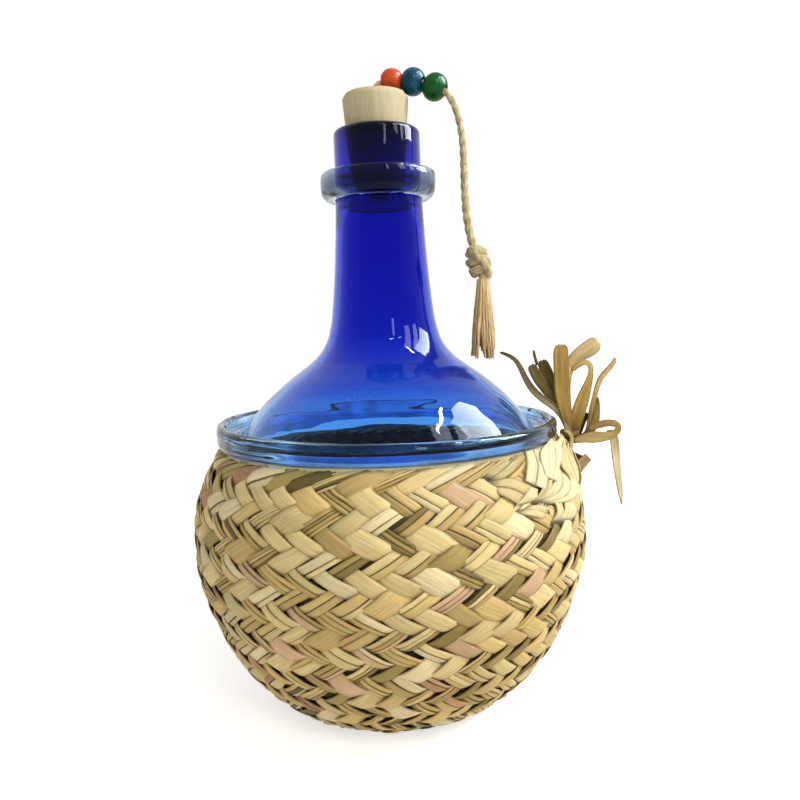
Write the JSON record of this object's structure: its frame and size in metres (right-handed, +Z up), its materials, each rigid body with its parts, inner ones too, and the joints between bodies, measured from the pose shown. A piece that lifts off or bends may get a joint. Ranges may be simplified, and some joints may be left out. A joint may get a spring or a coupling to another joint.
{
  "type": "basket-covered glass bottle",
  "caption": "Long-necked blown glass bottle in a plaited palm basket, closed by a turned wooden stopper that carries a beaded cord with a knotted tassel.",
  "frame": {"origin": "centre of the basket's flat underside, on the bottle's axis, at floor level", "axes": "+Z up along the bottle's axis; +X towards the tuft of palm strips, to the right in the picture; -Y towards the picture's viewer"},
  "size_m": [0.1866, 0.1684, 0.268],
  "materials": {
    "cobalt_glass": "blown cobalt-blue glass, clear and glossy",
    "clear_glass": "clear glass laid on hot, faintly grey-green",
    "palm_plait": "dried palm strips, twill plait, matt",
    "palm_strip": "dried palm strip ends, satin",
    "turned_wood": "raw turned softwood, fine sanded",
    "jute_cord": "laid jute cord, dry and hairy",
    "orange_paint": "wooden bead in glossy orange paint",
    "teal_paint": "wooden bead in glossy teal paint",
    "green_paint": "wooden bead in glossy green paint"
  },
  "bodies": {
    "bottle": {"glass_bottle": "cobalt_glass", "neck_ring": "clear_glass", "shoulder_ring": "clear_glass", "basket_shell": "palm_plait", "tuft_binding": "palm_strip", "leaf_long_thin": "palm_strip", "leaf_olive": "palm_strip", "leaf_broad": "palm_strip", "leaf_back": "palm_strip", "leaf_loop": "palm_strip", "leaf_wavy": "palm_strip", "leaf_short": "palm_strip", "leaf_dark": "palm_strip", "leaf_curl": "palm_strip", "leaf_hanging": "palm_strip", "leaf_thin_ring": "palm_strip", "leaf_stub": "palm_strip"},
    "stopper": {"stopper": "turned_wood"},
    "string": {"cord": "jute_cord", "cord_in_stopper": "jute_cord", "holding_knot": "jute_cord", "end_knot": "jute_cord", "tassel_strand_1": "jute_cord", "tassel_strand_2": "jute_cord", "tassel_strand_3": "jute_cord", "tassel_strand_4": "jute_cord", "tassel_strand_5": "jute_cord", "tassel_strand_6": "jute_cord", "tassel_strand_7": "jute_cord"},
    "orange_bead": {"bead_orange": "orange_paint"},
    "teal_bead": {"bead_teal": "teal_paint"},
    "green_bead": {"bead_green": "green_paint"}
  },
  "joints": [
    {"name": "stopper_lift", "type": "slide", "parent": "bottle", "child": "stopper", "axis": [0, 0, 1], "range_m": [0, 0.045]},
    {"name": "string_swivel", "type": "hinge", "parent": "stopper", "child": "string", "pos_m": [0, 0, 0.2568], "axis": [0, 0, 1], "continuous": true},
    {"name": "orange_spin", "type": "hinge", "parent": "string", "child": "orange_bead", "pos_m": [0.00725, 0.00265, 0.26263], "axis": [0.9994, 0, 0.0357], "continuous": true},
    {"name": "teal_spin", "type": "hinge", "parent": "string", "child": "teal_bead", "pos_m": [0.01617, 0.00058, 0.26175], "axis": [0.9191, -0.337, -0.2042], "continuous": true},
    {"name": "green_spin", "type": "hinge", "parent": "string", "child": "green_bead", "pos_m": [0.025, -0.0026, 0.25845], "axis": [0.8419, -0.2806, -0.461], "continuous": true}
  ]
}
